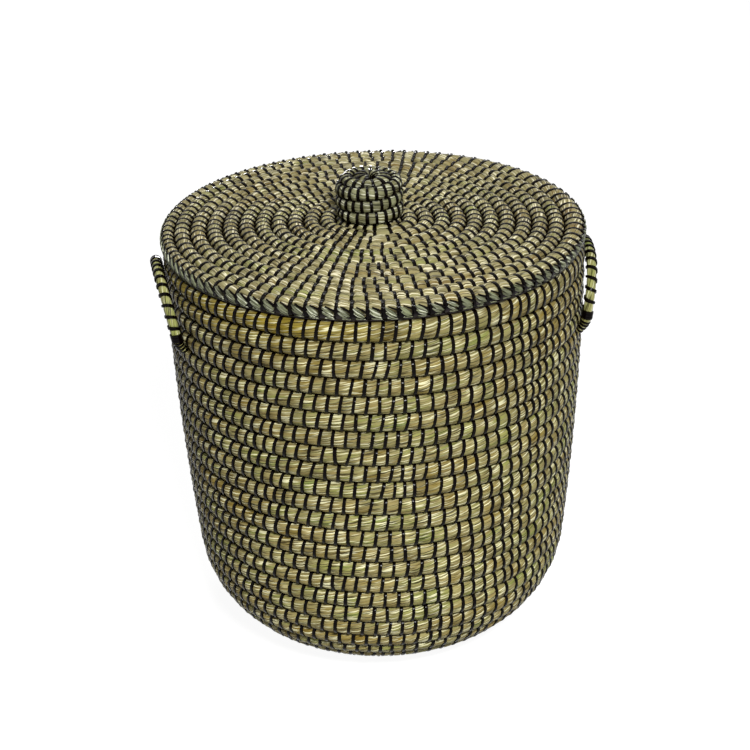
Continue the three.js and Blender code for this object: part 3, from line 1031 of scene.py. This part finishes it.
def on_root(knots, sideways, place, swell):
    """Rings of points round a root at places along its knots, this much outside it."""
    numbers = np.arange(len(knots))
    ahead = spot_on(knots, numbers, place + 0.2) - spot_on(knots, numbers, place - 0.2)
    upright = np.cross(ahead / np.linalg.norm(ahead, axis=1)[:, None], sideways)
    angle = full_turn * np.arange(root_sides) / root_sides
    level = np.cos(angle)[None, :, None] * sideways
    around = level + np.sin(angle)[None, :, None] * upright[:, None]
    thickness = np.interp(place, numbers, root_radii) + swell
    return spot_on(knots, numbers, place)[:, None] + thickness[:, None, None] * around


handle_around = np.linspace(0, full_turn * handle_radius, handle_sides + 1)
root_lengths = np.linspace(0, 20 * mm, root_rings)
root_around = np.linspace(0, 24 * mm, root_sides + 1)
tie_ring = np.array(tube_faces(root_sides, 4, True, False))[:, ::-1]
tie_uv = tube_uv(np.linspace(0, 22 * mm, root_sides), strip_around * tie_width, True, False, 24 * mm)
tie_uv = tie_uv.reshape(-1, 4, 2)[:, ::-1]

for side, (azimuth, distance, height, lean) in handle_places.items():
    seat = (
        Matrix.Rotation(math.radians(azimuth), 4, "Z")
        @ Matrix.Translation((distance, 0, height))
        @ Matrix.Rotation(math.radians(lean), 4, "Y")
    )
    body = side + "_handle"
    run = np.linspace(0, arch_length, handle_rings)
    angle = full_turn * np.arange(handle_sides) / handle_sides
    wound = ((run[:, None] - wrap_begin) / wrap_pitch - climb(-angle)[None, :]) % 1
    nearness = np.minimum(wound, 1 - wound) * wrap_pitch
    pinched = handle_radius - wrap_pinch * np.exp(-((nearness / wrap_reach) ** 2))
    ring_runs = np.repeat(run[:, None], handle_sides, 1)
    ring_angles = np.repeat(angle[None], handle_rings, 0)
    tones = 0.62 + 0.25 * np.interp(run, np.linspace(0, arch_length, 9), draw.normal(0, 0.5, 9))
    core = new_piece(
        body + "_grass",
        on_arch(ring_runs, ring_angles, pinched),
        tube_faces(handle_rings, handle_sides, False, True),
        tube_uv(run, handle_around, False, True, 0),
        handle_grass,
        tone=np.repeat(tones, handle_sides),
        shade=np.zeros(handle_rings * handle_sides),
    )
    core.data.transform(seat)
    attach(core, body)
    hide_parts(body + "_core")

    wrap = wind_strip(body + "_winding", wrap_begin, wrap_pitch, wrap_turns, wrap_width, 0.6)
    wrap.data.transform(seat)
    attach(wrap, body)
    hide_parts(body + "_wrap")

    front_leg = -1 if math.cos(math.radians(azimuth)) > 0 else 1
    for leg, where in ((front_leg, "front"), (-front_leg, "rear")):
        begin = lashing_low if leg < 0 else arch_length - lashing_high
        lashing = wind_strip(
            f"{side}_{where}_lashing_strip",
            begin + lashing_inset,
            lashing_pitch,
            lashing_turns,
            lashing_width,
            0.4,
        )
        lashing.data.transform(seat)
        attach(lashing, body)
        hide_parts(f"{side}_{where}_lashing")

        leg_end = seat @ Vector((0, leg * handle_span / 2, 0))
        leg_top = seat @ Vector((0, leg * handle_span / 2, 3 * mm))
        inwards = -Vector((leg_end.x, leg_end.y, 0)).normalized()
        knots = [leg_top, leg_end]
        for reach, drop in root_path:
            knots.append(leg_end + inwards * reach - Vector((0, 0, drop)))
        knots = np.array(knots)
        sideways = np.cross(inwards, (0, 0, 1))
        places = np.linspace(0, len(knots) - 1, root_rings)
        root = new_piece(
            f"{side}_{where}_root",
            on_root(knots, sideways, places, np.zeros(root_rings)),
            tube_faces(root_rings, root_sides, False, True),
            tube_uv(root_lengths, root_around, False, True, 0),
            handle_grass,
            tone=np.full(root_rings * root_sides, 0.3),
            shade=np.full(root_rings * root_sides, -1.0),
        )
        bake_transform(root)
        bands, faces, uv = [], [], []
        for tie in root_ties:
            rings = on_root(knots, sideways, tie_edges + tie, tie_lifts)
            bands.append(rings.transpose(1, 0, 2))
            faces.append(tie_ring + len(faces) * root_sides * 4)
            uv.append(tie_uv)
        ties = new_piece(
            f"{side}_{where}_root_ties",
            np.concatenate(bands),
            np.concatenate(faces).tolist(),
            np.concatenate(uv).reshape(-1, 2),
            plastic_strip,
            4,
            tone=np.full(len(root_ties) * root_sides * 4, 0.5),
        )
        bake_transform(ties)

# Update
# The scene is brought up to date.
bpy.context.view_layer.update()
